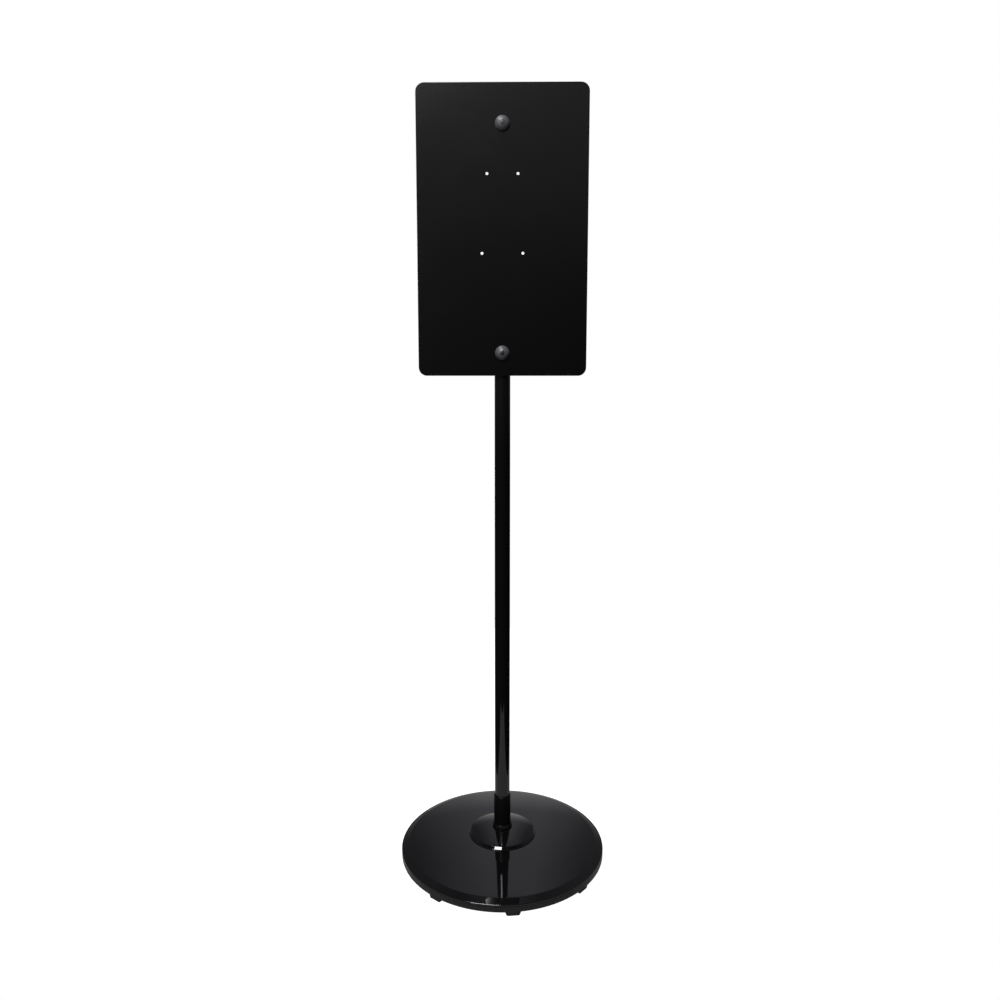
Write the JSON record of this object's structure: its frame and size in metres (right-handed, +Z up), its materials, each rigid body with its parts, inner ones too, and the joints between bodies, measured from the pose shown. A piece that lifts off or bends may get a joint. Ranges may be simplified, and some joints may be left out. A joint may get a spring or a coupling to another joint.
{
  "type": "sign stand",
  "caption": "Free-standing sign stand: flat plate with rounded corners, held by dome-headed hand screws on a round column that swivels in the socket of a round weighted base.",
  "frame": {"origin": "on the column's axis at floor level, under the middle of the round base", "axes": "+Z up along the column; the sign plate faces -Y; +X is to the right of someone reading the sign"},
  "size_m": [0.391, 0.391, 1.43],
  "materials": {
    "shell_gloss": "high gloss black moulding",
    "column_paint": "gloss black paint on steel",
    "plate_paint": "satin black paint on steel sheet",
    "pan_plastic": "dull black moulding",
    "foot_rubber": "dull black rubber",
    "knob_plastic": "satin dark grey moulding",
    "moulded_black": "fine matte black moulding",
    "black_oxide": "black oxide on steel",
    "zinc": "bright zinc on steel",
    "bare_steel": "bare steel plate",
    "ballast_iron": "rough cast iron"
  },
  "bodies": {
    "base": {"ballast": "ballast_iron", "base_shell": "shell_gloss", "bottom_pan": "pan_plastic", "foot_1": "foot_rubber", "foot_2": "foot_rubber", "foot_3": "foot_rubber", "foot_4": "foot_rubber", "foot_5": "foot_rubber", "foot_6": "foot_rubber", "foot_7": "foot_rubber", "foot_8": "foot_rubber", "pan_screws": "zinc", "socket_sleeve": "column_paint", "socket_flange": "bare_steel", "socket_weld": "bare_steel", "flange_screws": "zinc", "flange_washers": "zinc", "lock_boss": "column_paint", "lock_screw": "black_oxide", "hub_cover": "shell_gloss", "neck_ring": "shell_gloss"},
    "column": {"column_tube": "column_paint", "column_cap": "moulded_black", "column_plug": "moulded_black", "sign_plate": "plate_paint", "saddle_upper": "moulded_black", "saddle_lower": "moulded_black", "rivet_nut_upper": "zinc", "rivet_nut_lower": "zinc"},
    "washer_upper": {"knob_washer_upper": "moulded_black"},
    "hand_screw_upper": {"knob_upper": "knob_plastic", "knob_screw_upper": "black_oxide"},
    "washer_lower": {"knob_washer_lower": "moulded_black"},
    "hand_screw_lower": {"knob_lower": "knob_plastic", "knob_screw_lower": "black_oxide"}
  },
  "joints": [
    {"name": "column_swivel", "type": "hinge", "parent": "base", "child": "column", "pos_m": [0, 0, 0.12], "axis": [0, 0, 1], "continuous": true},
    {"name": "upper_screw_travel", "type": "slide", "parent": "column", "child": "washer_upper", "axis": [0, -1, 0], "range_m": [0, 0.008]},
    {"name": "upper_screw_turn", "type": "hinge", "parent": "washer_upper", "child": "hand_screw_upper", "pos_m": [0, -0.0193, 1.362], "axis": [0, -1, 0], "range_deg": [0, 3600]},
    {"name": "lower_screw_travel", "type": "slide", "parent": "column", "child": "washer_lower", "axis": [0, -1, 0], "range_m": [0, 0.008]},
    {"name": "lower_screw_turn", "type": "hinge", "parent": "washer_lower", "child": "hand_screw_lower", "pos_m": [0, -0.0193, 0.9705], "axis": [0, -1, 0], "range_deg": [0, 3600]}
  ],
  "couplings": [
    {"joint": "upper_screw_travel", "follows": "upper_screw_turn", "m_per_rad": 0.00012732},
    {"joint": "lower_screw_travel", "follows": "lower_screw_turn", "m_per_rad": 0.00012732}
  ]
}
